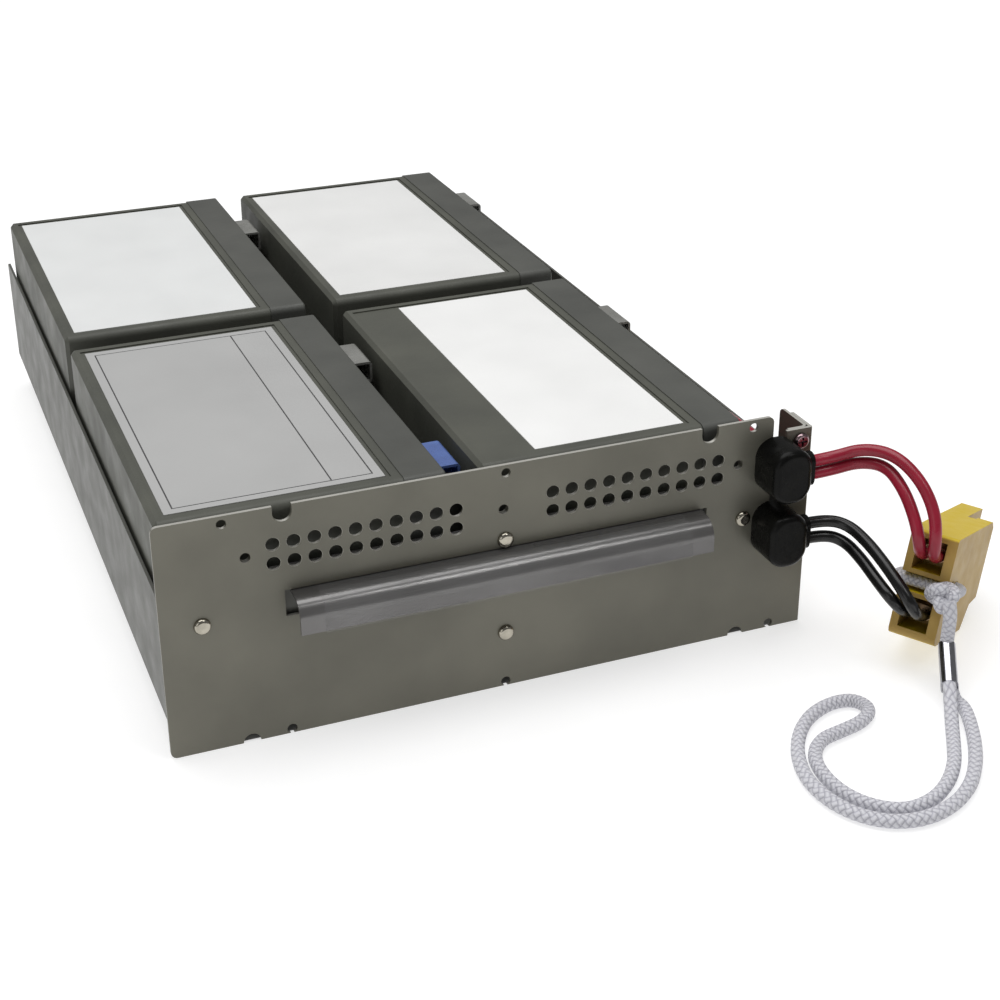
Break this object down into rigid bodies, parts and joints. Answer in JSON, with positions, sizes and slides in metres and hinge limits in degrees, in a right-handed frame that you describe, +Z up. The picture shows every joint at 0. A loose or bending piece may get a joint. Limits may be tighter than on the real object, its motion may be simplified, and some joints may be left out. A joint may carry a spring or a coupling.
{
  "type": "ups battery cartridge",
  "caption": "Slide-in battery tray for a rack UPS: four sealed 12 V blocks, sheet front panel with vents and a pull handle, and red and black cables ending in a two-pole connector.",
  "frame": {"origin": "middle of the cartridge's box, without the free cables, at the level of the panel's lower edge", "axes": "+Z up, +X to the right seen from the panel, +Y from the panel back into the bay"},
  "size_m": [0.3008, 0.4447, 0.0826],
  "materials": {
    "panel_steel": "satin",
    "tray_steel": "satin",
    "handle_steel": "satin",
    "clear_film": "gloss",
    "screw_steel": "gloss",
    "rivet_steel": "gloss",
    "pad_foam": "matte",
    "battery_black": "matte",
    "terminal_metal": "satin",
    "label_paper": "matte",
    "sleeve_grey": "gloss",
    "sleeve_blue": "gloss",
    "cable_red": "gloss",
    "cable_black": "gloss",
    "boot_black": "gloss",
    "connector_body": "satin",
    "contact_copper": "satin",
    "lanyard_white": "matte",
    "crimp_chrome": "gloss"
  },
  "bodies": {
    "root": {"front_panel": "panel_steel", "tray": "tray_steel", "pull_handle": "handle_steel", "handle_film": "clear_film", "corner_bracket": "panel_steel", "bracket_screw": "screw_steel", "panel_rivets": "rivet_steel", "floor_pad_left": "pad_foam", "floor_pad_right": "pad_foam", "battery_case_front_left": "battery_black", "battery_lid_front_left": "battery_black", "valve_cover_front_left": "battery_black", "terminal_tabs_front_left": "terminal_metal", "label_front_left": "label_paper", "sleeve_front_left_front": "sleeve_blue", "sleeve_front_left_back": "sleeve_grey", "battery_case_back_left": "battery_black", "battery_lid_back_left": "battery_black", "valve_cover_back_left": "battery_black", "terminal_tabs_back_left": "terminal_metal", "label_back_left": "label_paper", "sleeve_back_left_front": "sleeve_grey", "sleeve_back_left_back": "sleeve_grey", "battery_case_front_right": "battery_black", "battery_lid_front_right": "battery_black", "valve_cover_front_right": "battery_black", "terminal_tabs_front_right": "terminal_metal", "label_front_right": "label_paper", "sleeve_front_right_front": "sleeve_grey", "sleeve_front_right_back": "sleeve_grey", "battery_case_back_right": "battery_black", "battery_lid_back_right": "battery_black", "valve_cover_back_right": "battery_black", "terminal_tabs_back_right": "terminal_metal", "label_back_right": "label_paper", "sleeve_back_right_front": "sleeve_grey", "sleeve_back_right_back": "sleeve_grey", "red_lead_left": "cable_red", "red_lead_right": "cable_red", "black_lead_left": "cable_black", "black_lead_right": "cable_black", "jumper_left": "cable_black", "jumper_right": "cable_black", "upper_boot": "boot_black", "lower_boot": "boot_black", "red_cable_outer": "cable_red", "red_cable_inner": "cable_red", "black_cable_outer": "cable_black", "black_cable_inner": "cable_black", "connector_shell": "connector_body", "connector_contacts": "contact_copper", "lanyard_knot": "lanyard_white", "lanyard_crimp": "crimp_chrome", "lanyard_cord": "lanyard_white"}
  },
  "joints": []
}
